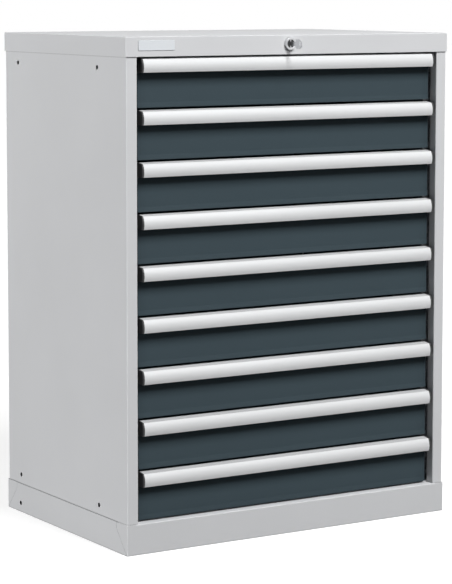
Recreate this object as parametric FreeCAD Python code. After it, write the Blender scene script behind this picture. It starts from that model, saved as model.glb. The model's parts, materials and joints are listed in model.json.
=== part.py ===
import FreeCAD, Part
import math
import os

from FreeCAD import Vector

# Free-standing steel tool cabinet: a folded housing on a plinth, nine drawers on
# telescopic slides, a full-width grip on each drawer and a central lock.
# Lengths are in millimetres. +Z is up and the drawers open towards -Y.
# Every piece is modelled with x = 0 in the middle of the width, y = 0 in the front
# plane of the plinth and top cover, and z = 0 on the floor. The export moves them all
# along y, so that the origin ends up under the middle of the whole part's box.

# How far a cutter reaches past the piece it cuts, and how close two points are one
cut_margin = 1.0
same_point = 1e-6

# Housing
cabinet_width = 760.0
cabinet_depth = 512.0
plinth_height = 60.0
top_band = 40.0
drawer_count = 9
drawer_pitch = 100.0
body_inset = 2.0
body_sheet = 1.2
body_bend = 1.0
post_width = 24.0
post_depth = 20.0
post_lip = 12.0
rear_flange = 20.0
top_flange = 16.0
cover_gap = 1.5
cover_sheet = 1.2
cover_edge_radius = 2.0
fascia_hem = 14.0
back_sheet = 1.0
floor_sheet = 1.2
floor_flange = 13.0
floor_front_gap = 1.0
panel_gap = 0.3

# Plinth
plinth_sheet = 1.5
plinth_bend = 0.5
plinth_flange = 20.0
sill_past_post = 3.0
sill_lip = 12.0
corner_relief = 20.0
flap_length = 42.0
flap_shoulder_drop = 12.0
flap_foot = 2.0
seam_gap = 0.4

# Holes that bolt the cabinet to its neighbour
joining_hole_radius = 4.5
joining_hole_from_front = 116.0
joining_hole_from_back = 59.0
joining_hole_over_plinth = 19.0
joining_hole_under_cover = 22.5
plinth_hole_height = 19.0

# Uprights inside the housing, which carry the slides
upright_depth = 29.8
upright_width = 30.0
upright_sheet = 1.5
upright_behind_front = 8.0
upright_back_gap = 40.0
upright_top_gap = 5.0
slot_width = 5.0
slot_height = 20.0
hook_clearance = 0.5
hook_reach = 4.0

# Telescopic slides
slide_thickness = 19.0
slide_sheet = 1.5
slide_behind_front = 7.0
slide_back_gap = 23.0
slide_centre = 40.0
slide_gap = 0.4
rail_height = 53.0
rail_gap = 3.0
rail_lip = 5.0
middle_lip = 4.1
member_play = 0.6
runner_set_in = 1.0

# Drawers
drawer_sheet = 1.0
front_sheet = 1.2
front_side_gap = 9.0
front_plane = 18.0
front_depth = 12.0
front_foot_gap = 3.8
front_head_gap = 0.8
front_lip_height = 10.0
front_lip_reach = 1.2
tray_past_slide = 3.0
tray_floor_height = 10.0
tray_rim_height = 86.0
tray_hem = 4.0

# Grip on each drawer front; its heights are counted down from the top of the front
grip_set_in = 3.0
grip_wall = 2.0
grip_drop = 27.7
grip_slope = 2.2
grip_top_front = 2.0
grip_bulge = -3.0
grip_bulge_drop = 16.0
grip_foot = -1.0
grip_bead = 3.0
grip_leg = 24.0
groove_width = 0.8
groove_depth = 0.8
groove_set_back = 0.5
cap_thickness = 3.0
cap_overhang = 0.6

# Lock in the middle of the top cover's front, and the bars that it moves
lock_x = -9.5
lock_drop = 17.5
lock_turn = math.radians(90.0)
bezel_radius = 12.0
bezel_reach = 6.0
bezel_edge = 0.5
dish_radius = 8.5
dish_depth = 1.5
cylinder_radius = 10.0
cylinder_play = 0.3
plug_radius = 6.5
plug_play = 0.05
cam_gap = 0.95
cam_sheet = 2.4
cam_reach = 4.0
drive_radius = 7.0
drive_pin_radius = 2.0
pin_play = 0.45
keyway_end_play = 3.0
key_play = 0.2
key_thickness = 2.0
key_blade_height = 8.0
key_neck = 17.0
key_reach = 46.0
key_bow_length = 23.0
key_bow_height = 19.0
key_bevel = 5.0
key_corner = 1.0
key_hole_width = 3.0
key_hole_height = 8.0
key_hole_set_in = 5.5
bar_sheet = 2.0
bar_play = 0.6
bar_gap = 1.0
cross_bar_height = 26.0
cross_bar_rim = 1.8
cross_bar_end_gap = 2.8
cross_bar_past_lock = 16.0
guide_stud_radius = 2.5
guide_head_radius = 4.5
guide_head = 1.4
guide_steps = (60.5, 190.5)
bar_stud_foot = 17.0
guide_width = 24.0
guide_foot = 18.0
lock_bar_width = 23.0
lock_bar_sheet = 3.0
lock_bar_end_gap = 4.8
lock_bar_top_gap = 12.8
lock_bar_over_plinth = 60.0
link_pin_set_in = 9.0
link_pin_drop = 6.5
finger_tray_gap = 5.0
finger_height = 8.0
finger_under_catch = 2.0
catch_height = 8.0
catch_reach = 11.0
catch_play = 1.0
catch_sheet = 2.0

# Sizes that follow from the ones above
half_width = cabinet_width / 2
body_half = half_width - body_inset
inner_half = body_half - body_sheet
body_back = cabinet_depth - body_inset
cabinet_height = plinth_height + drawer_count * drawer_pitch + top_band
cover_foot = cabinet_height - top_band + cover_gap
cover_underside = cabinet_height - cover_sheet
floor_top = plinth_height + floor_sheet
post_back = body_inset + post_depth
flap_shoulder = plinth_height - flap_shoulder_drop
front_width = 2 * (body_half - post_width - front_side_gap)
grip_length = front_width - 2 * grip_set_in
tray_front = front_plane + front_depth
upright_front = tray_front + upright_behind_front
upright_rear = body_back - upright_back_gap - upright_width
rail_face = inner_half - upright_depth
rail_depth = slide_thickness - rail_gap
slide_front = tray_front + slide_behind_front
slide_length = body_back - slide_back_gap - slide_front
tray_half = rail_face - slide_thickness
tray_back = slide_front + slide_length + tray_past_slide
catch_foot = tray_rim_height - drawer_sheet - catch_height
finger_foot = catch_foot - finger_under_catch - finger_height
lock_height = cabinet_height - lock_drop
lock_travel = 2 * drive_radius * math.sin(lock_turn / 2)
lock_bar_front = upright_front - bar_play - lock_bar_sheet
cross_bar_front = lock_bar_front - bar_gap - bar_sheet
cylinder_length = cross_bar_front - cam_gap - cam_sheet - plug_play
link_pin_height = lock_height - link_pin_drop
stud_slot_reach = guide_stud_radius + pin_play
origin_shift = (key_reach - cabinet_depth) / 2


def across_width(y, z):
    """Place of an outline's u, v in the plane x = 0."""
    return Vector(0, y, z)


def across_depth(x, z):
    """Place of an outline's u, v in the plane y = 0."""
    return Vector(x, 0, z)


def in_plan(x, y):
    """Place of an outline's u, v in the plane z = 0."""
    return Vector(x, y, 0)


directions = {across_width: Vector(1, 0, 0), across_depth: Vector(0, 1, 0), in_plan: Vector(0, 0, 1)}


def rounded_corner(before, corner, after):
    """Ends and middle of the arc that rounds a corner given as (u, v, radius)."""
    here = Vector(corner[0], corner[1], 0)
    back = (Vector(before[0], before[1], 0) - here).normalize()
    on = (Vector(after[0], after[1], 0) - here).normalize()
    half_angle = back.getAngle(on) / 2
    to_tangent = corner[2] / math.tan(half_angle)
    inward = (back + on).normalize()
    middle = here + inward * (corner[2] / math.sin(half_angle) - corner[2])
    return here + back * to_tangent, middle, here + on * to_tangent


def outline_face(corners, place):
    """Flat face inside corners (u, v), or (u, v, radius) where the corner is rounded."""

    def placed(point):
        return place(point.x, point.y)

    stops = []
    for index, corner in enumerate(corners):
        if len(corner) == 3 and corner[2] > 0:
            after = corners[(index + 1) % len(corners)]
            stops.append(rounded_corner(corners[index - 1], corner, after))
        else:
            point = Vector(corner[0], corner[1], 0)
            stops.append((point, None, point))
    edges = []
    for index, (start, middle, end) in enumerate(stops):
        if middle is not None:
            edges.append(Part.Arc(placed(start), placed(middle), placed(end)).toShape())
        following = stops[(index + 1) % len(stops)][0]
        if (following - end).Length > same_point:
            edges.append(Part.LineSegment(placed(end), placed(following)).toShape())
    return Part.Face(Part.Wire(edges))


def prism(corners, place, start, end):
    """Solid from an outline, between two distances square to the outline's plane."""
    solid = outline_face(corners, place).extrude(directions[place] * (end - start))
    solid.translate(directions[place] * start)
    return solid


def folded_outline(path, sheet, side):
    """Outline of a bent sheet from the corners of one of its faces.

    The sheet lies on the path's left for side = 1 and on its right for side = -1.
    A corner (u, v, bend) is folded to that inside radius, and (u, v) to a sharp edge.
    """
    points = [Vector(corner[0], corner[1], 0) for corner in path]
    runs = [(after - before).normalize() for before, after in zip(points, points[1:])]
    normals = [Vector(-run.y, run.x, 0) * side for run in runs]
    near, far = [], []
    for index, point in enumerate(points):
        first = normals[max(index - 1, 0)]
        second = normals[min(index, len(normals) - 1)]
        offset = (first + second) * (sheet / (1 + first.dot(second)))
        near_radius, far_radius = 0.0, 0.0
        if len(path[index]) == 3:
            bend = path[index][2]
            outside_near = runs[index - 1].cross(runs[index]).z * side > 0
            near_radius = bend + sheet if outside_near else bend
            far_radius = bend if outside_near else bend + sheet
        near.append((point.x, point.y, near_radius))
        far.append((point.x + offset.x, point.y + offset.y, far_radius))
    return near + far[::-1]


def folded(path, sheet, side, place, start, end):
    """Bent sheet: the outline along path, drawn out between two distances."""
    return prism(folded_outline(path, sheet, side), place, start, end)


def block(x_from, x_to, y_from, y_to, z_from, z_to):
    """Rectangular solid between two corners."""
    corner = Vector(x_from, y_from, z_from)
    return Part.makeBox(x_to - x_from, y_to - y_from, z_to - z_from, corner)


def rod_y(x, z, radius, y_from, y_to):
    """Round bar along y."""
    return Part.makeCylinder(radius, y_to - y_from, Vector(x, y_from, z), Vector(0, 1, 0))


def rod_x(y, z, radius, x_from, x_to):
    """Round bar along x."""
    return Part.makeCylinder(radius, x_to - x_from, Vector(x_from, y, z), Vector(1, 0, 0))


def hexagon_y(x, z, radius, y_from, y_to):
    """Six-sided screw head along y, with its corners at that radius."""
    turns = [math.radians(60 * corner) for corner in range(6)]
    corners = [(x + radius * math.cos(turn), z + radius * math.sin(turn)) for turn in turns]
    return prism(corners, across_depth, y_from, y_to)


def oblong_y(start, end, reach, y_from, y_to):
    """Square-ended bar along y that reaches that far past and beside two centres (x, z)."""
    run = Vector(end[0] - start[0], 0, end[1] - start[1]).normalize() * reach
    across = run.cross(Vector(0, 1, 0))
    corners = []
    for centre, ahead, aside in ((start, -1, 1), (end, 1, 1), (end, 1, -1), (start, -1, -1)):
        corner = run * ahead + across * aside
        corners.append((centre[0] + corner.x, centre[1] + corner.z))
    return prism(corners, across_depth, y_from, y_to)


def mirrored(shape):
    """The same piece on the other side of the cabinet."""
    return shape.mirror(Vector(0, 0, 0), Vector(1, 0, 0))


def both_sides(shape):
    """A piece and its mirror image, as two separate solids."""
    return [shape, mirrored(shape)]


def zone_foot(number):
    """Height of the foot of a drawer's zone; drawer 1 is the top one."""
    return plinth_height + (drawer_count - number) * drawer_pitch


def joining_holes():
    """Cutters for the four bolt holes in a side panel."""
    holes = []
    for y in (joining_hole_from_front, cabinet_depth - joining_hole_from_back):
        for z in (plinth_height + joining_hole_over_plinth, cover_foot - joining_hole_under_cover):
            holes.append(rod_x(y, z, joining_hole_radius, -half_width, -inner_half + body_sheet))
    return holes


def left_side_panel():
    """Side wall, front post with its return, and rear flange, folded from one sheet."""
    inner_edge = -body_half + post_width
    path = [
        (-body_half + rear_flange, body_back),
        (-body_half, body_back, body_bend),
        (-body_half, body_inset, body_bend),
        (inner_edge, body_inset, body_bend),
        (inner_edge, post_back),
        (inner_edge - post_lip, post_back),
    ]
    wall = folded(path, body_sheet, 1, in_plan, plinth_height, cover_underside)
    flange_end = -body_half + top_flange
    flange_front = post_back + post_lip
    flange_back = body_back - body_sheet - back_sheet - panel_gap
    flange = block(
        -inner_half, flange_end, flange_front, flange_back, cover_underside - body_sheet, cover_underside
    )
    return wall.fuse(flange).cut(joining_holes()).removeSplitter()


def back_panel():
    """Flat rear wall against the inside of the rear flanges."""
    half = inner_half - body_bend
    rear = body_back - body_sheet
    return block(-half, half, rear - back_sheet, rear, floor_top + panel_gap, cover_underside - panel_gap)


def cover_guide(x):
    """Hanging bracket with a headed stud that guides the cross bar."""
    rear_face = cross_bar_front + bar_sheet + bar_play
    head_back = cross_bar_front - bar_play
    path = [
        (rear_face, lock_height - guide_head_radius),
        (rear_face, cover_underside),
        (rear_face + guide_foot, cover_underside),
    ]
    plate = folded(path, cover_sheet, -1, across_width, x - guide_width / 2, x + guide_width / 2)
    stud = rod_y(x, lock_height, guide_stud_radius, head_back, rear_face)
    head = hexagon_y(x, lock_height, guide_head_radius, head_back - guide_head, head_back)
    return plate.fuse([stud, head])


def top_cover():
    """Upturned tray over the housing: top sheet, skirts, front hem and lock hole."""
    outside = block(-half_width, half_width, 0, cabinet_depth, cover_foot, cabinet_height)
    folds = [edge for edge in outside.Edges if edge.BoundBox.ZMax > cover_foot + cover_edge_radius]
    outside = outside.makeFillet(cover_edge_radius, folds)
    inside = block(
        -half_width + cover_sheet,
        half_width - cover_sheet,
        cover_sheet,
        cabinet_depth - cover_sheet,
        cover_foot - cut_margin,
        cover_underside,
    )
    cover = outside.cut(inside)
    hem_half = body_half - post_width - 2 * body_sheet
    hem = block(-hem_half, hem_half, cover_sheet / 2, fascia_hem, cover_foot, cover_foot + cover_sheet)
    cover = cover.fuse([hem] + [cover_guide(lock_x - step) for step in guide_steps])
    hole_radius = cylinder_radius + cylinder_play
    hole = rod_y(lock_x, lock_height, hole_radius, -cut_margin, cover_sheet + cut_margin)
    return cover.cut(hole).removeSplitter()


def plinth_rail():
    """Front rail of the plinth: face, sill, foot flange and the two corner flaps."""
    middle_end = half_width - corner_relief
    path = [
        (plinth_flange, 0),
        (0, 0),
        (0, plinth_height, plinth_bend),
        (post_back + sill_past_post, plinth_height),
        (post_back + sill_past_post, plinth_height - sill_lip),
    ]
    middle = folded(path, plinth_sheet, -1, across_width, -middle_end, middle_end)
    corner_path = [(-half_width, flap_length), (-half_width, 0, plinth_bend), (-middle_end, 0)]
    corner = folded(corner_path, plinth_sheet, 1, in_plan, 0, plinth_height)
    beyond_flap = [
        (flap_foot, -cut_margin),
        (flap_foot, 0),
        (flap_length, flap_shoulder),
        (flap_length + cut_margin, flap_shoulder),
        (flap_length + cut_margin, -cut_margin),
    ]
    outer = -half_width - cut_margin
    inner = -half_width + plinth_sheet + cut_margin
    corner = corner.cut(prism(beyond_flap, across_width, outer, inner))
    return middle.fuse([corner, mirrored(corner)]).removeSplitter()


def plinth_rear_rail():
    """The same rail turned round to the back."""
    return plinth_rail().mirror(Vector(0, cabinet_depth / 2, 0), Vector(0, 1, 0))


def plinth_side_plate():
    """Side of the plinth between the rails' corner flaps, with its two flanges."""
    path = [
        (-half_width + corner_relief, 0),
        (-half_width, 0),
        (-half_width, plinth_height),
        (-half_width + corner_relief, plinth_height),
    ]
    plate = folded(path, plinth_sheet, -1, across_depth, 0, cabinet_depth)
    slope = math.hypot(flap_length - flap_foot, flap_shoulder)
    across = seam_gap * slope / flap_shoulder
    foot = max(flap_foot + across, plinth_sheet + seam_gap)
    outside_seam = [
        (-cut_margin, -cut_margin),
        (foot, -cut_margin),
        (foot, 0),
        (flap_length + across, flap_shoulder),
        (flap_length + across, plinth_height + cut_margin),
        (-cut_margin, plinth_height + cut_margin),
    ]
    outer = -half_width - cut_margin
    cutter = prism(outside_seam, across_width, outer, -half_width + corner_relief + cut_margin)
    rear_cutter = cutter.mirror(Vector(0, cabinet_depth / 2, 0), Vector(0, 1, 0))
    inner = -half_width + plinth_sheet + cut_margin
    hole_y = cabinet_depth - joining_hole_from_back
    hole = rod_x(hole_y, plinth_hole_height, joining_hole_radius, outer, inner)
    return plate.cut([cutter, rear_cutter, hole]).removeSplitter()


def bottom_plate():
    """Floor of the housing with an upturned flange at each side wall."""
    path = [
        (-inner_half, floor_top + floor_flange),
        (-inner_half, plinth_height),
        (inner_half, plinth_height),
        (inner_half, floor_top + floor_flange),
    ]
    front = post_back + floor_front_gap
    rear = body_back - body_sheet - back_sheet - panel_gap
    return folded(path, floor_sheet, 1, across_depth, front, rear)


def left_upright(front):
    """Slotted channel on the left wall, from the bottom plate's flange to below the cover."""
    path = [
        (-inner_half, front),
        (-rail_face, front),
        (-rail_face, front + upright_width),
        (-inner_half, front + upright_width),
    ]
    foot = floor_top + floor_flange
    top = cover_foot - upright_top_gap
    channel = folded(path, upright_sheet, 1, in_plan, foot, top)
    middle = front + upright_width / 2
    slots = []
    for number in range(1, drawer_count + 1):
        height = zone_foot(number) + slide_centre
        slots.append(
            block(
                -rail_face - upright_sheet - cut_margin,
                -rail_face + cut_margin,
                middle - slot_width / 2,
                middle + slot_width / 2,
                height - slot_height / 2,
                height + slot_height / 2,
            )
        )
    return channel.cut(slots)


def bar_stud_heights():
    """Heights of the studs that guide the lock bar, one for every third drawer."""
    return [zone_foot(number) + bar_stud_foot for number in range(2, drawer_count, 3)]


def lock_bar_middle():
    """x of the lock bar's centre line."""
    return -inner_half + lock_bar_end_gap + lock_bar_width / 2


def uprights():
    """Four uprights; the left front one carries the studs of the lock bar."""
    front_left = left_upright(upright_front)
    rear_left = left_upright(upright_rear)
    studs = []
    head_back = lock_bar_front - bar_play
    for height in bar_stud_heights():
        x = lock_bar_middle()
        studs.append(rod_y(x, height, guide_stud_radius, head_back, upright_front))
        studs.append(hexagon_y(x, height, guide_head_radius, head_back - guide_head, head_back))
    return [front_left.fuse(studs), mirrored(front_left)] + both_sides(rear_left)


def slide_place(corners, number):
    """Outline of the left slide of a drawer from (u, v, ...) about the slide's centre.

    u runs from the upright's face towards the drawer and v upwards.
    """
    centre = zone_foot(number) + slide_centre
    return [(-rail_face + corner[0], centre + corner[1]) + tuple(corner[2:]) for corner in corners]


def slide_member(path, side, number):
    """One member of the left slide at its place when the drawer is shut."""
    outline = slide_place(folded_outline(path, slide_sheet, side), number)
    return prism(outline, across_depth, slide_front, slide_front + slide_length)


def cabinet_rail(number):
    """Outer member, hooked into the uprights."""
    half = rail_height / 2
    mouth = half - slide_sheet - rail_lip
    path = [
        (rail_depth, -mouth),
        (rail_depth, -half),
        (0, -half),
        (0, half),
        (rail_depth, half),
        (rail_depth, mouth),
    ]
    rail = slide_member(path, -1, number)
    centre = zone_foot(number) + slide_centre
    hook_half_width = slot_width / 2 - hook_clearance
    hook_half_height = slot_height / 2 - hook_clearance
    hooks = []
    for front in (upright_front, upright_rear):
        middle = front + upright_width / 2
        hooks.append(
            block(
                -rail_face - hook_reach,
                -rail_face + slide_sheet / 2,
                middle - hook_half_width,
                middle + hook_half_width,
                centre - hook_half_height,
                centre + hook_half_height,
            )
        )
    return rail.fuse(hooks)


def middle_half():
    """Half the height of the middle member, inside the cabinet rail."""
    return rail_height / 2 - slide_sheet - slide_gap


def middle_mouth():
    """Half the opening between the middle member's lips."""
    return middle_half() - slide_sheet - middle_lip


def middle_member(number):
    """Middle member, which runs inside the cabinet rail."""
    half = middle_half()
    mouth = middle_mouth()
    outer = rail_depth - slide_sheet - member_play
    inner = slide_sheet + member_play
    path = [(outer, -mouth), (outer, -half), (inner, -half), (inner, half), (outer, half), (outer, mouth)]
    return slide_member(path, -1, number)


def runner(number):
    """Inner member, fixed to the tray's side, with turned-out lips behind the middle one's."""
    half = middle_mouth() - slide_gap - slide_sheet
    lip = middle_half() - slide_sheet - slide_gap
    inner = 2 * slide_sheet + member_play + runner_set_in
    web = slide_thickness - slide_sheet
    path = [(inner, -lip), (inner, -half), (web, -half), (web, half), (inner, half), (inner, lip)]
    return slide_member(path, -1, number)


def catch_front():
    """Depth of the tray's lock catch, just behind the lock bar's fingers."""
    return lock_bar_front + lock_bar_sheet + catch_play


def lock_catch(number):
    """Block welded to a tray's left side, under its hem, which the lock bar's finger stops."""
    low = zone_foot(number) + catch_foot
    front = catch_front()
    return block(
        -tray_half - catch_reach, -tray_half, front, front + catch_sheet, low, low + catch_height
    )


def drawer(number):
    """Welded drawer: hollow front with its bottom lip, and the hemmed tray."""
    foot = zone_foot(number)
    low = foot + front_foot_gap
    high = foot + drawer_pitch - front_head_gap
    half = front_width / 2
    lip_y = front_plane - front_lip_reach
    lip_z = low + front_lip_height
    shell = [(tray_front, low), (lip_y, low), (front_plane, lip_z), (front_plane, high), (tray_front, high)]
    hollow = [
        (tray_front + cut_margin, low + front_sheet),
        (lip_y + front_sheet, low + front_sheet),
        (front_plane + front_sheet, lip_z),
        (front_plane + front_sheet, high - front_sheet),
        (tray_front + cut_margin, high - front_sheet),
    ]
    front = prism(shell, across_width, -half, half)
    front = front.cut(prism(hollow, across_width, -half + front_sheet, half - front_sheet))
    tray_low = foot + tray_floor_height
    tray_high = foot + tray_rim_height
    tray = block(-tray_half, tray_half, tray_front, tray_back, tray_low, tray_high)
    hem_half = tray_half + tray_hem
    hem_foot = tray_high - drawer_sheet
    hem = block(-hem_half, hem_half, tray_front, tray_back + tray_hem, hem_foot, tray_high)
    inside = block(
        -tray_half + drawer_sheet,
        tray_half - drawer_sheet,
        tray_front + drawer_sheet,
        tray_back - drawer_sheet,
        tray_low + drawer_sheet,
        tray_high + cut_margin,
    )
    return_front = tray_front - front_sheet
    return_back = tray_front + drawer_sheet
    top_return = block(-half, half, return_front, return_back, hem_foot, high)
    low_return = block(-half, half, return_front, return_back, low, tray_low + drawer_sheet)
    hemmed_tray = tray.fuse(hem).cut(inside)
    return front.fuse([hemmed_tray, top_return, low_return]).removeSplitter()


def grip_arc(number, outward):
    """Three points (y, z) of the grip's bulging face, moved outward square to it."""
    top = zone_foot(number) + drawer_pitch - front_head_gap
    points = [
        Vector(0, grip_top_front, top - grip_slope),
        Vector(0, grip_bulge, top - grip_bulge_drop),
        Vector(0, grip_foot, top - grip_drop),
    ]
    centre = Part.Arc(*points).toShape().Curve.Center
    return [point + (point - centre).normalize() * outward for point in points]


def grip(number):
    """Extruded grip: leg on the drawer front, sloping top, groove and bulging face."""
    top = zone_foot(number) + drawer_pitch - front_head_gap
    head, belly, foot = grip_arc(number, 0.0)
    inner_head, inner_belly, inner_foot = grip_arc(number, -grip_wall)
    fall = grip_slope / (front_plane - grip_top_front)

    def on_top(y):
        return Vector(0, y, top - (front_plane - y) * fall)

    groove_front = grip_top_front + groove_set_back
    groove_back = groove_front + groove_width
    down = Vector(0, 0, -groove_depth)
    under = Vector(0, 0, -grip_wall)
    leg_face = front_plane - grip_wall
    bead_back = foot.y + grip_bead
    line = [
        foot,
        Vector(0, bead_back, foot.z),
        Vector(0, bead_back, foot.z + grip_bead),
        Vector(0, inner_foot.y, foot.z + grip_bead),
    ]
    edges = [Part.LineSegment(a, b).toShape() for a, b in zip(line, line[1:])]
    raised_foot = Vector(0, inner_foot.y, foot.z + grip_bead)
    edges.append(Part.Arc(raised_foot, inner_belly, inner_head + under).toShape())
    line = [
        inner_head + under,
        on_top(leg_face) + under,
        Vector(0, leg_face, top - grip_leg),
        Vector(0, front_plane, top - grip_leg),
        on_top(front_plane),
        on_top(groove_back),
        on_top(groove_back) + down,
        on_top(groove_front) + down,
        on_top(groove_front),
        head,
    ]
    edges += [Part.LineSegment(a, b).toShape() for a, b in zip(line, line[1:])]
    edges.append(Part.Arc(head, belly, foot).toShape())
    profile = Part.Face(Part.Wire(edges))
    profile.translate(Vector(-grip_length / 2, 0, 0))
    return profile.extrude(Vector(grip_length, 0, 0))


def grip_cap(number):
    """Moulded cap over the left end of a grip."""
    top = zone_foot(number) + drawer_pitch - front_head_gap
    head, belly, foot = grip_arc(number, cap_overhang)
    line = [
        foot,
        Vector(0, front_plane, foot.z),
        Vector(0, front_plane, top + cap_overhang / 2),
        head,
    ]
    edges = [Part.LineSegment(a, b).toShape() for a, b in zip(line, line[1:])]
    edges.append(Part.Arc(head, belly, foot).toShape())
    profile = Part.Face(Part.Wire(edges))
    profile.translate(Vector(-grip_length / 2 - cap_thickness, 0, 0))
    return profile.extrude(Vector(cap_thickness, 0, 0))


def turned(profile, x, z):
    """Solid turned about the y axis through x, z from (radius, y) corners."""
    face = outline_face([(x + corner[0], corner[1]) + tuple(corner[2:]) for corner in profile], in_plan)
    face.translate(Vector(0, 0, z))
    return face.revolve(Vector(x, 0, z), Vector(0, 1, 0), 360)


def lock_cylinder():
    """Lock housing: raised bezel with a dished face, and the barrel behind it."""
    bore = plug_radius + plug_play
    profile = [
        (bore, cylinder_length),
        (cylinder_radius, cylinder_length),
        (cylinder_radius, 0),
        (bezel_radius, 0),
        (bezel_radius, -bezel_reach + bezel_edge),
        (bezel_radius - bezel_edge, -bezel_reach),
        (dish_radius, -bezel_reach),
        (dish_radius, -bezel_reach + dish_depth),
        (bore, -bezel_reach + dish_depth),
    ]
    return turned(profile, lock_x, lock_height)


def lock_plug():
    """Plug that the key turns, with a cam and its off-centre drive pin at the rear."""
    face = -bezel_reach + dish_depth
    cam_front = cylinder_length + plug_play
    cam_back = cam_front + cam_sheet
    core = rod_y(lock_x, lock_height, plug_radius, face, cam_front)
    pin_x, pin_z = drive_pin_rest()
    cam = oblong_y((lock_x, lock_height), (pin_x, pin_z), cam_reach, cam_front, cam_back)
    pin = rod_y(pin_x, pin_z, drive_pin_radius, cam_back, cross_bar_front + bar_sheet)
    keyway_half_width = key_thickness / 2 + key_play
    keyway_half_height = key_blade_height / 2 + key_play
    keyway = block(
        lock_x - keyway_half_width,
        lock_x + keyway_half_width,
        face - cut_margin,
        face + key_neck + keyway_end_play,
        lock_height - keyway_half_height,
        lock_height + keyway_half_height,
    )
    return core.fuse([cam, pin]).cut(keyway).removeSplitter()


def drive_pin_rest():
    """x and z of the drive pin when the lock is open."""
    swing = lock_turn / 2
    return lock_x - drive_radius * math.sin(swing), lock_height + drive_radius * math.cos(swing)


def key():
    """Flat key in the plug: blade, neck and bevelled bow with a slotted eye."""
    bow_back = -key_reach + key_bow_length
    neck_half = key_blade_height / 2
    bow_half = key_bow_height / 2
    tip = -bezel_reach + dish_depth + key_neck
    outline = [
        (tip, lock_height - neck_half / 2),
        (tip - neck_half / 2, lock_height + neck_half),
        (bow_back, lock_height + neck_half),
        (bow_back, lock_height + bow_half - key_corner),
        (bow_back - key_corner, lock_height + bow_half),
        (-key_reach + 2 * key_bevel, lock_height + bow_half),
        (-key_reach, lock_height + bow_half - key_bevel),
        (-key_reach, lock_height - bow_half + key_bevel),
        (-key_reach + 2 * key_bevel, lock_height - bow_half),
        (bow_back - key_corner, lock_height - bow_half),
        (bow_back, lock_height - bow_half + key_corner),
        (bow_back, lock_height - neck_half),
        (tip - neck_half / 2, lock_height - neck_half),
    ]
    half = key_thickness / 2
    flat = prism(outline, across_width, lock_x - half, lock_x + half)
    eye_front = -key_reach + key_hole_set_in
    eye = block(
        lock_x - key_thickness,
        lock_x + key_thickness,
        eye_front,
        eye_front + key_hole_width,
        lock_height - key_hole_height / 2,
        lock_height + key_hole_height / 2,
    )
    return flat.cut(eye)


def link_pin_x():
    """x of the lock bar's link pin."""
    return -inner_half + lock_bar_end_gap + link_pin_set_in


def cross_bar():
    """Flat bar behind the fascia: the plug pushes it along x, and it lifts the lock bar."""
    left = -inner_half + cross_bar_end_gap
    right = lock_x + cross_bar_past_lock
    low = link_pin_height - math.sqrt(2) * stud_slot_reach - cross_bar_rim
    back = cross_bar_front + bar_sheet
    bar = block(left, right, cross_bar_front, back, low, low + cross_bar_height)
    cut_front = cross_bar_front - cut_margin
    cut_back = back + cut_margin
    pin_x, pin_z = drive_pin_rest()
    pin_top = lock_height + drive_radius
    link = (link_pin_x(), link_pin_height)
    link_moved = (link_pin_x() - lock_travel, link_pin_height + lock_travel)
    slots = [
        oblong_y((pin_x, pin_z), (pin_x, pin_top), drive_pin_radius + pin_play, cut_front, cut_back),
        oblong_y(link, link_moved, stud_slot_reach, cut_front, cut_back),
    ]
    for step in guide_steps:
        stud = (lock_x - step, lock_height)
        stud_moved = (lock_x - step - lock_travel, lock_height)
        slots.append(oblong_y(stud_moved, stud, stud_slot_reach, cut_front, cut_back))
    return bar.cut(slots)


def lock_bar():
    """Upright bar behind the left post, with its link pin and a welded finger for each drawer."""
    left = -inner_half + lock_bar_end_gap
    right = left + lock_bar_width
    back = lock_bar_front + lock_bar_sheet
    top = cover_underside - lock_bar_top_gap
    foot = plinth_height + lock_bar_over_plinth
    bar = block(left, right, lock_bar_front, back, foot, top)
    fingers = []
    for number in range(1, drawer_count + 1):
        low = zone_foot(number) + finger_foot
        fingers.append(
            block(right, -tray_half - finger_tray_gap, lock_bar_front, back, low, low + finger_height)
        )
    slots = []
    for height in bar_stud_heights():
        slots.append(
            oblong_y(
                (lock_bar_middle(), height - lock_travel),
                (lock_bar_middle(), height),
                stud_slot_reach,
                lock_bar_front - cut_margin,
                back + cut_margin,
            )
        )
    pin_front = cross_bar_front - bar_gap
    pin = rod_y(link_pin_x(), link_pin_height, guide_stud_radius, pin_front, lock_bar_front)
    return [bar.cut(slots), pin] + fingers


def export(name, solids):
    """Write one node's file, with the whole part's origin under the middle of its box."""
    shape = solids[0] if len(solids) == 1 else Part.makeCompound(solids)
    shape.translate(Vector(0, origin_shift, 0))
    shape.exportStep("parts/" + name + ".step")


os.makedirs("parts", exist_ok=True)

side = left_side_panel()
export("left_side_panel", [side.copy()])
export("right_side_panel", [mirrored(side)])
export("back_panel", [back_panel()])
export("top_cover", [top_cover()])
export("plinth_front_rail", [plinth_rail()])
export("plinth_rear_rail", [plinth_rear_rail()])
export("plinth_side_plates", both_sides(plinth_side_plate()))
export("bottom_plate", [bottom_plate()])
export("slotted_uprights", uprights())
export("lock_cylinder", [lock_cylinder()])
export("lock_plug", [lock_plug()])
export("key", [key()])
export("cross_bar", [cross_bar()])
export("lock_bar", lock_bar())

rails = []
for number in range(1, drawer_count + 1):
    rails += both_sides(cabinet_rail(number))
export("cabinet_rails", rails)

for number in range(1, drawer_count + 1):
    name = "drawer_%d_" % number
    export(name + "tray", [drawer(number), lock_catch(number)])
    export(name + "grip", [grip(number)])
    export(name + "grip_caps", both_sides(grip_cap(number)))
    export(name + "runners", both_sides(runner(number)))
    export(name + "middle_slides", both_sides(middle_member(number)))
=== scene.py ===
import json
import math

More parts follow.
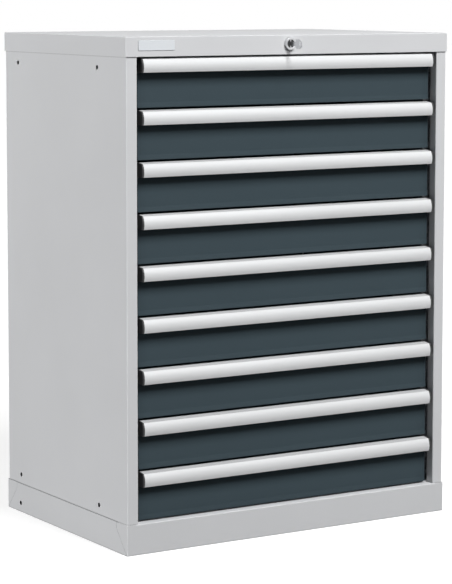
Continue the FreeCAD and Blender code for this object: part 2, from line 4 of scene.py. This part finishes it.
import bmesh
import bpy
from mathutils import Euler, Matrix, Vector

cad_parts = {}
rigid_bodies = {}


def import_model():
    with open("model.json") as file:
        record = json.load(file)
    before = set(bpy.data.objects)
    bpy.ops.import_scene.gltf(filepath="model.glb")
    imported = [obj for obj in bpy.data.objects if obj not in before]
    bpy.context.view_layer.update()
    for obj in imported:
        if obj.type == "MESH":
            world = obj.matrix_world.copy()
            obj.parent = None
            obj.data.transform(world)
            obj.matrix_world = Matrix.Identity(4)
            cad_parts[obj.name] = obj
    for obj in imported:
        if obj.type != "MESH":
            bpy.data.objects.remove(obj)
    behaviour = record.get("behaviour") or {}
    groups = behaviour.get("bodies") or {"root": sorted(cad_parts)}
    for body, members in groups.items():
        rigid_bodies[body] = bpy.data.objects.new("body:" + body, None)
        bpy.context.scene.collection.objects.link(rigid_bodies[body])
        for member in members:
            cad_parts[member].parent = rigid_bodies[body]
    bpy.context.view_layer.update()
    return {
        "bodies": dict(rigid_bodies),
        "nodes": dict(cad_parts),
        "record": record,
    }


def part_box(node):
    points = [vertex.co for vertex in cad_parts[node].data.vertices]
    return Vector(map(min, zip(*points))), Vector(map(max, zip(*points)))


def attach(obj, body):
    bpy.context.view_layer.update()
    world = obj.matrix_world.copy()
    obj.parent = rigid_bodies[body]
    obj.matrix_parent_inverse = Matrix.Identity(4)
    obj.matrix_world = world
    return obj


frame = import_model()

nodes = frame["nodes"]
drawers = sorted(body for body in frame["bodies"] if body.startswith("drawer_"))
MM = 0.001

# Stage
white = (1.0, 1.0, 1.0, 1.0)
floor_size = 60.0
floor_shown = 0.30
floor_glow = 0.86
floor_glow_near = 0.8
floor_glow_far = 2.5
floor_bounce = 0.10
ambient = 0.015

# Lamps
main_place = (0.5, -5.1, 5.85)
main_target = (0, -0.15, 0.5)
main_size = (1.6, 3.4)
main_watts = 660.0
left_azimuth = math.radians(93)
left_strength = 2.2
right_azimuth = math.radians(-92)
right_strength = 2.1
back_azimuth = math.radians(178)
back_strength = 2.1
low_elevation = math.radians(0.5)
low_softness = math.radians(1)
low_target = Vector((0, 0, 0.5))
low_distance = 4.0

# Camera
image_height = 584
focal_pixels = 2310.27
sensor_width = 36.0
camera_place = Vector((-2525.53, -4041.96, 1092.51)) * MM
camera_yaw = math.radians(31.880)
camera_pitch = math.radians(5.796)
camera_roll = math.radians(0.0423)
camera_shift = -0.12
camera_reach = 100.0

# Paint
cloudiness = 0.015
paint_gloss = 0.06
paint_grain_height = 0.06 * MM
fold_softening = 0.35 * MM

# Small pieces
plate_left = -352.5 * MM
plate_right = -272.3 * MM
plate_foot = 973.2 * MM
plate_top = 992.6 * MM
plate_thickness = 1.1 * MM
plate_corner = 2.0 * MM
plate_chamfer = 0.3 * MM
shutter_radius = 8.1 * MM
shutter_edge_radius = 7.8 * MM
shutter_edge_height = 0.35 * MM
shutter_height = 0.5 * MM
half_keyway = 1.2 * MM
nut_inner_radius = 10.35 * MM
nut_outer_radius = 14.0 * MM
nut_height = 3.2 * MM
nut_behind_front = 1.25 * MM
screw_from_middle = 367.5 * MM
screw_radius = 3.6 * MM
screw_height = 1.7 * MM
screw_shares = (0.05, 0.275, 0.5, 0.725, 0.95)
tray_wall = 327.0 * MM
rivet_radius = 3.4 * MM
rivet_height = 1.1 * MM
rivet_shares = (0.08, 0.5, 0.92)


def linear(red, green, blue):
    """Linear colour from 0-255 display values."""
    def channel(value):
        share = value / 255
        return share / 12.92 if share <= 0.04045 else ((share + 0.055) / 1.055) ** 2.4
    return (channel(red), channel(green), channel(blue), 1.0)


class Graph:
    """Short calls for building one material's node tree."""

    def __init__(self, name):
        self.material = bpy.data.materials.new(name)
        self.material.use_nodes = True
        self.nodes = self.material.node_tree.nodes
        self.links = self.material.node_tree.links
        self.shader = self.nodes["Principled BSDF"]

    def add(self, kind, **values):
        node = self.nodes.new(kind)
        for key, value in values.items():
            setattr(node, key, value)
        return node

    def link(self, source, target):
        self.links.new(source, target)

    def position(self, scale):
        """Object coordinates, which are metres in the row frame, scaled per axis."""
        place = self.add("ShaderNodeTexCoord")
        mapping = self.add("ShaderNodeMapping")
        mapping.inputs["Scale"].default_value = scale
        self.link(place.outputs["Object"], mapping.inputs["Vector"])
        return mapping.outputs["Vector"]

    def noise(self, scale, detail=2.0, stretch=(1, 1, 1)):
        texture = self.add("ShaderNodeTexNoise")
        texture.inputs["Scale"].default_value = scale
        texture.inputs["Detail"].default_value = detail
        self.link(self.position(stretch), texture.inputs["Vector"])
        return texture.outputs["Fac"]

    def cells(self, scale):
        texture = self.add("ShaderNodeTexVoronoi")
        texture.inputs["Scale"].default_value = scale
        self.link(self.position((1, 1, 1)), texture.inputs["Vector"])
        return texture.outputs["Color"]

    def ramp(self, value, low_colour, high_colour, low=0.3, high=0.7):
        """Two-stop colour ramp over a value."""
        ramp = self.add("ShaderNodeValToRGB")
        first, second = ramp.color_ramp.elements
        first.position, first.color = low, low_colour
        second.position, second.color = high, high_colour
        self.link(value, ramp.inputs["Fac"])
        return ramp.outputs["Color"]

    def spread(self, value, low, high):
        """A 0-1 value mapped to a range."""
        span = self.add("ShaderNodeMapRange")
        span.inputs["To Min"].default_value = low
        span.inputs["To Max"].default_value = high
        self.link(value, span.inputs["Value"])
        return span.outputs["Result"]

    def bump(self, value, strength, distance, before=None):
        node = self.add("ShaderNodeBump")
        node.inputs["Strength"].default_value = strength
        node.inputs["Distance"].default_value = distance
        self.link(value, node.inputs["Height"])
        if before is not None:
            self.link(before, node.inputs["Normal"])
        return node.outputs["Normal"]

    def paint_occlusion_shade(self, colour, reach, darkest):
        """Painted shade: darkens a colour by ambient occlusion where another surface stands close, in seams
        and under overhangs.
        """
        near = self.add("ShaderNodeAmbientOcclusion", samples=8)
        near.inputs["Distance"].default_value = reach
        share = self.add("ShaderNodeMapRange")
        share.inputs["From Min"].default_value = 0.2
        share.inputs["From Max"].default_value = 0.95
        share.inputs["To Min"].default_value = darkest
        self.link(near.outputs["AO"], share.inputs["Value"])
        tinted = self.add("ShaderNodeVectorMath", operation="SCALE")
        self.link(colour, tinted.inputs[0])
        self.link(share.outputs["Result"], tinted.inputs["Scale"])
        return tinted.outputs["Vector"]

    def rounded(self, radius):
        """Normal that softens sharp edges."""
        node = self.add("ShaderNodeBevel", samples=4)
        node.inputs["Radius"].default_value = radius
        return node.outputs["Normal"]

    def finish(self, colour, roughness, normal, metallic=0.0):
        self.link(colour, self.shader.inputs["Base Color"])
        self.link(roughness, self.shader.inputs["Roughness"])
        self.link(normal, self.shader.inputs["Normal"])
        self.shader.inputs["Metallic"].default_value = metallic
        return self.material


def powder_coat(name, base, grain_scale, painted_shade_reach, roughness):
    """Fine-textured powder coat: orange-peel grain, faint cloudiness, rounded edges and painted shade where
    other surfaces stand close.
    """
    graph = Graph(name)
    cloud = graph.noise(scale=6.0, detail=3.0)
    lighter = tuple(min(1.0, channel * (1 + cloudiness)) for channel in base[:3]) + (1.0,)
    darker = tuple(channel * (1 - cloudiness) for channel in base[:3]) + (1.0,)
    # Painted shade: the colour is darkened by ambient occlusion near other surfaces.
    colour = graph.paint_occlusion_shade(graph.ramp(cloud, darker, lighter), painted_shade_reach, darkest=0.3)
    grain = graph.noise(grain_scale)
    edge = graph.rounded(fold_softening)
    normal = graph.bump(grain, strength=0.4, distance=paint_grain_height, before=edge)
    rough = graph.spread(graph.noise(grain_scale / 3), roughness - 0.05, roughness + 0.05)
    graph.shader.inputs["Specular IOR Level"].default_value = paint_gloss
    return graph.finish(colour, rough, normal)


def extruded_aluminium(name):
    """Satin anodised extrusion with faint draw lines along x and painted shade in its grooves."""
    graph = Graph(name)
    lines = graph.noise(scale=900.0, stretch=(0.004, 1, 1))
    patches = graph.noise(scale=9.0, stretch=(0.2, 1, 1))
    tint = graph.ramp(patches, linear(200, 201, 202), linear(206, 207, 208))
    # Painted shade: the tint is darkened by ambient occlusion in the grip's grooves and seams.
    colour = graph.paint_occlusion_shade(tint, reach=1.5 * MM, darkest=0.25)
    rough = graph.spread(lines, low=0.60, high=0.72)
    normal = graph.bump(lines, strength=0.10, distance=0.05 * MM)
    graph.shader.inputs["Specular IOR Level"].default_value = 0.15
    return graph.finish(colour, rough, normal, metallic=0.3)


def moulded_plastic(name):
    """Black moulded plastic with a fine spark-eroded grain."""
    graph = Graph(name)
    grain = graph.noise(scale=2200.0)
    colour = graph.ramp(grain, linear(18, 19, 21), linear(27, 28, 30), low=0.2, high=0.8)
    rough = graph.spread(grain, low=0.42, high=0.60)
    normal = graph.bump(grain, strength=0.3, distance=0.03 * MM, before=graph.rounded(0.5 * MM))
    return graph.finish(colour, rough, normal)


def zinc_plate(name):
    """Bright zinc on sheet steel: crystalline patches of slightly different grey."""
    graph = Graph(name)
    patches = graph.cells(scale=240.0)
    tint = graph.ramp(patches, linear(176, 178, 182), linear(204, 205, 208), low=0.1, high=0.9)
    brushed = graph.noise(scale=700.0, stretch=(1, 0.01, 1))
    rough = graph.spread(brushed, low=0.26, high=0.44)
    normal = graph.bump(brushed, strength=0.15, distance=0.04 * MM)
    return graph.finish(tint, rough, normal, metallic=1.0)


def nickel_plate(name):
    """Nickel-plated die casting with a soft satin sheen."""
    graph = Graph(name)
    patches = graph.noise(scale=350.0)
    colour = graph.ramp(patches, linear(200, 201, 203), linear(208, 209, 211), low=0.2, high=0.8)
    rough = graph.spread(patches, low=0.26, high=0.32)
    grain = graph.noise(scale=2500.0)
    normal = graph.bump(grain, strength=0.08, distance=0.02 * MM, before=graph.rounded(0.3 * MM))
    return graph.finish(colour, rough, normal, metallic=1.0)


def plate_enamel(name):
    """Light enamel of the bare plate."""
    graph = Graph(name)
    speckle = graph.noise(scale=1500.0)
    colour = graph.ramp(speckle, linear(214, 218, 222), linear(220, 224, 228))
    rough = graph.spread(speckle, low=0.34, high=0.44)
    return graph.finish(colour, rough, graph.bump(speckle, strength=0.1, distance=0.02 * MM))


materials = {
    # The housing paint's 3 mm reach paints shade in its seams and under its folds.
    "housing_paint": powder_coat(
        "light_grey_powder", linear(210, 211, 213), grain_scale=700.0, painted_shade_reach=3.0 * MM, roughness=0.55
    ),
    # The drawer paint's 32 mm reach paints the shade under each grip onto the drawer fronts.
    "drawer_paint": powder_coat(
        "anthracite_powder", linear(61, 73, 79), grain_scale=900.0, painted_shade_reach=32.0 * MM, roughness=0.50
    ),
    "grip_aluminium": extruded_aluminium("satin_aluminium"),
    "black_plastic": moulded_plastic("black_plastic"),
    "zinc_steel": zinc_plate("bright_zinc"),
    "nickel": nickel_plate("nickel"),
}


def dress_cad_nodes():
    """Gives every CAD node the material of its slot."""
    for row in frame["record"]["subparts"]:
        mesh = nodes[row["node"]].data
        mesh.materials.clear()
        mesh.materials.append(materials[row["material_slot"]])


def new_piece(name, mesh_maker, material, body):
    """Object from a bmesh filled by mesh_maker, riding on a body."""
    shape = bmesh.new()
    mesh_maker(shape)
    bmesh.ops.recalc_face_normals(shape, faces=shape.faces)
    mesh = bpy.data.meshes.new(name)
    shape.to_mesh(mesh)
    shape.free()
    mesh.materials.append(material)
    piece = bpy.data.objects.new(name, mesh)
    bpy.context.scene.collection.objects.link(piece)
    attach(piece, body)


def join_rings(shape, near, far):
    """Band of faces between two rings of points."""
    for step in range(len(near)):
        after = (step + 1) % len(near)
        shape.faces.new((near[step], near[after], far[after], far[step]))


def turned_along(shape, centre, axis, profile, sides):
    """Surface of revolution about a level axis from (radius, distance) corners, open at both ends."""
    axis = Vector(axis)
    across = Vector((0, 0, 1))
    beside = axis.cross(across)
    rings = []
    for radius, distance in profile:
        ring = []
        for step in range(sides):
            turn = 2 * math.pi * step / sides
            spoke = across * math.cos(turn) + beside * math.sin(turn)
            ring.append(shape.verts.new(Vector(centre) + axis * distance + spoke * radius))
        rings.append(ring)
    for near, far in zip(rings, rings[1:]):
        join_rings(shape, near, far)
    return rings


def close_ends(shape, rings):
    """Caps the first and last ring."""
    shape.faces.new(rings[0][::-1])
    shape.faces.new(rings[-1])


def rivet_heads(shape, centres, axis, radius, height):
    """Domed rivet heads on a face that looks along the axis."""
    dome = [(radius, 0), (radius, 0.25 * height), (0.85 * radius, 0.7 * height), (0.45 * radius, height)]
    for centre in centres:
        close_ends(shape, turned_along(shape, centre, axis, dome, sides=20))


def screw_heads(shape, centres, radius, height):
    """Pan heads with a four-sided recess on the back of the cabinet."""
    dome = [(radius, 0), (radius, 0.4 * height), (0.88 * radius, 0.8 * height), (0.6 * radius, height)]
    recess = [(0.42 * radius, height), (0.12 * radius, 0.35 * height)]
    for centre in centres:
        rings = turned_along(shape, centre, (0, 1, 0), dome, sides=24)
        shape.faces.new(rings[0][::-1])
        inner = turned_along(shape, centre, (0, 1, 0), recess, sides=4)
        shape.faces.new(inner[-1])
        edges = [edge for edge in shape.edges if len(edge.link_faces) == 1]
        bmesh.ops.bridge_loops(shape, edges=edges)


def rounded_plate(shape, front, back):
    """Thin upright plate with rounded corners and a chamfered front rim."""
    steps = 6
    corner = plate_corner
    outline = []
    for x, z, start in (
        (plate_right - corner, plate_top - corner, 0),
        (plate_left + corner, plate_top - corner, 90),
        (plate_left + corner, plate_foot + corner, 180),
        (plate_right - corner, plate_foot + corner, 270),
    ):
        for step in range(steps + 1):
            turn = math.radians(start + 90 * step / steps)
            outline.append((x, z, math.cos(turn), math.sin(turn)))
    rings = []
    for reach, y in ((corner, back), (corner, front + plate_chamfer), (corner - plate_chamfer, front)):
        rings.append([shape.verts.new((x + c * reach, y, z + s * reach)) for x, z, c, s in outline])
    for near, far in zip(rings, rings[1:]):
        join_rings(shape, near, far)
    close_ends(shape, rings)


def badge_plate():
    """Bare plate at the left end of the front band."""
    band_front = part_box("top_cover")[0].y

    def fill(shape):
        rounded_plate(shape, band_front - plate_thickness, band_front)

    new_piece("badge_plate", fill, plate_enamel("plate_enamel"), "housing")


def lock_details():
    """Dark shutter round the keyway, and the nut that holds the lock behind the band."""
    plug_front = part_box("lock_plug")[0].y
    barrel_low, barrel_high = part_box("lock_cylinder")
    x = (barrel_low.x + barrel_high.x) / 2
    z = (barrel_low.z + barrel_high.z) / 2
    steps = 24

    def shutter(shape):
        for side in (-1, 1):
            rings = []
            for radius, distance in (
                (shutter_radius, 0),
                (shutter_radius, shutter_edge_height),
                (shutter_edge_radius, shutter_height),
            ):
                start = math.asin(half_keyway / radius)
                turns = [start + (math.pi - 2 * start) * step / steps for step in range(steps + 1)]
                points = [(x + side * radius * math.sin(t), z + radius * math.cos(t)) for t in turns]
                rings.append([shape.verts.new((px, plug_front - distance, pz)) for px, pz in points])
            for near, far in zip(rings, rings[1:]):
                join_rings(shape, near, far)
            close_ends(shape, rings)

    new_piece("keyway_shutter", shutter, materials["black_plastic"], "lock_core")

    def nut(shape):
        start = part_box("top_cover")[0].y + nut_behind_front
        ring = [
            (nut_inner_radius, 0),
            (nut_outer_radius, 0),
            (nut_outer_radius, nut_height),
            (nut_inner_radius, nut_height),
        ]
        rings = turned_along(shape, (x, start, z), (0, 1, 0), ring, sides=36)
        join_rings(shape, rings[-1], rings[0])

    new_piece("lock_nut", nut, materials["zinc_steel"], "housing")


def back_screws():
    """Screws that hold the back panel to the rear flanges."""
    low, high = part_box("left_side_panel")
    heights = [low.z + (high.z - low.z) * share for share in screw_shares]
    centres = [(side * screw_from_middle, high.y, height) for side in (-1, 1) for height in heights]

    def fill(shape):
        screw_heads(shape, centres, screw_radius, screw_height)

    new_piece("back_panel_screws", fill, materials["zinc_steel"], "housing")


def tray_rivets():
    """Rivets that hold the runners, seen inside each open drawer."""
    for body in drawers:
        low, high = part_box(body + "_runners")
        middle = (low.z + high.z) / 2
        depths = [low.y + (high.y - low.y) * share for share in rivet_shares]

        def fill(shape):
            for side in (-1, 1):
                centres = [(side * tray_wall, y, middle) for y in depths]
                rivet_heads(shape, centres, (-side, 0, 0), rivet_radius, rivet_height)

        new_piece(body + "_rivets", fill, materials["zinc_steel"], body)


def seen_share(tree):
    """1 for camera, glossy and transmission rays, else 0."""
    rays = tree.nodes.new("ShaderNodeLightPath")
    value = rays.outputs["Is Camera Ray"]
    for kind in ("Is Glossy Ray", "Is Transmission Ray"):
        larger = tree.nodes.new("ShaderNodeMath")
        larger.operation = "MAXIMUM"
        tree.links.new(value, larger.inputs[0])
        tree.links.new(rays.outputs[kind], larger.inputs[1])
        value = larger.outputs["Value"]
    return value


def lit_or_seen(tree, lit, seen, output):
    """Sends one shader to the rays that light the object and the other to those that show it."""
    mixed = tree.nodes.new("ShaderNodeMixShader")
    tree.links.new(seen_share(tree), mixed.inputs["Fac"])
    tree.links.new(lit.outputs[0], mixed.inputs[1])
    tree.links.new(seen.outputs[0], mixed.inputs[2])
    tree.links.new(mixed.outputs[0], output.inputs["Surface"])


def grey_floor(tree, level):
    """Matt grey surface."""
    shader = tree.nodes.new("ShaderNodeBsdfDiffuse")
    shader.inputs["Color"].default_value = (level, level, level, 1.0)
    return shader


def rising_glow(tree):
    """Glow that rises to full white away from the object."""
    place = tree.nodes.new("ShaderNodeTexCoord")
    reach = tree.nodes.new("ShaderNodeVectorMath")
    reach.operation = "LENGTH"
    tree.links.new(place.outputs["Object"], reach.inputs[0])
    rise = tree.nodes.new("ShaderNodeMapRange")
    rise.inputs["From Min"].default_value = floor_glow_near
    rise.inputs["From Max"].default_value = floor_glow_far
    rise.inputs["To Min"].default_value = floor_glow
    tree.links.new(reach.outputs["Value"], rise.inputs["Value"])
    glow = tree.nodes.new("ShaderNodeEmission")
    tree.links.new(rise.outputs["Result"], glow.inputs["Strength"])
    return glow


def stage():
    """Pale floor that keeps the shadow and rises to the white of the background further out."""
    material = bpy.data.materials.new("floor")
    material.use_nodes = True
    tree = material.node_tree
    tree.nodes.clear()
    output = tree.nodes.new("ShaderNodeOutputMaterial")
    both = tree.nodes.new("ShaderNodeAddShader")
    tree.links.new(grey_floor(tree, floor_shown).outputs[0], both.inputs[0])
    tree.links.new(rising_glow(tree).outputs[0], both.inputs[1])
    lit_or_seen(tree, grey_floor(tree, floor_bounce), both, output)
    mesh = bpy.data.meshes.new("floor")
    half = floor_size / 2
    corners = [(-half, -half, 0), (half, -half, 0), (half, half, 0), (-half, half, 0)]
    mesh.from_pydata(corners, [], [(0, 1, 2, 3)])
    mesh.materials.append(material)
    floor = bpy.data.objects.new("floor", mesh)
    bpy.context.scene.collection.objects.link(floor)


def world():
    """Soft even light, and pure white where the camera, metal and glass see the background."""
    scene_world = bpy.data.worlds.new("studio")
    scene_world.use_nodes = True
    bpy.context.scene.world = scene_world
    tree = scene_world.node_tree
    tree.nodes.clear()
    output = tree.nodes.new("ShaderNodeOutputWorld")
    backgrounds = []
    for strength in (ambient, 1.0):
        background = tree.nodes.new("ShaderNodeBackground")
        background.inputs["Color"].default_value = white
        background.inputs["Strength"].default_value = strength
        backgrounds.append(background)
    lit_or_seen(tree, *backgrounds, output)


def lamp(name, kind, location, target, strength):
    """Lamp that points from a place at a target."""
    light = bpy.data.lights.new(name, kind)
    light.energy = strength
    holder = bpy.data.objects.new(name, light)
    holder.location = location
    holder.rotation_euler = (Vector(target) - Vector(location)).to_track_quat("-Z", "Y").to_euler()
    bpy.context.scene.collection.objects.link(holder)
    return light


def low_light(name, azimuth, strength):
    """Even light from far away, just over the floor; azimuth 0 is in front and turns to the left."""
    towards = Vector((
        -math.sin(azimuth) * math.cos(low_elevation),
        -math.cos(azimuth) * math.cos(low_elevation),
        math.sin(low_elevation),
    ))
    light = lamp(name, "SUN", low_target + towards * low_distance, low_target, strength)
    light.angle = low_softness


def lights():
    """One tall soft box high in front, and level light on the sides and back that skims past the top."""
    main_box = lamp("main_box", "AREA", main_place, main_target, main_watts)
    main_box.shape = "RECTANGLE"
    main_box.size, main_box.size_y = main_size
    low_light("left_light", left_azimuth, left_strength)
    low_light("right_light", right_azimuth, right_strength)
    low_light("back_light", back_azimuth, back_strength)


def camera():
    """Camera at the photograph's place; its lens is nearly level and shifted down a little."""
    data = bpy.data.cameras.new("camera")
    data.sensor_width = sensor_width
    data.lens = focal_pixels * sensor_width / image_height
    data.shift_y = camera_shift
    data.clip_end = camera_reach
    holder = bpy.data.objects.new("camera", data)
    holder.location = camera_place
    turn = Euler((math.radians(90) - camera_pitch, 0, -camera_yaw), "XYZ").to_matrix()
    tilt = Euler((0, 0, camera_roll), "XYZ").to_matrix()
    holder.rotation_euler = (turn @ tilt).to_euler()
    bpy.context.scene.collection.objects.link(holder)
    bpy.context.scene.camera = holder


dress_cad_nodes()
badge_plate()
lock_details()
back_screws()
tray_rivets()
stage()
world()
lights()
camera()
bpy.context.scene.view_settings.view_transform = "Standard"
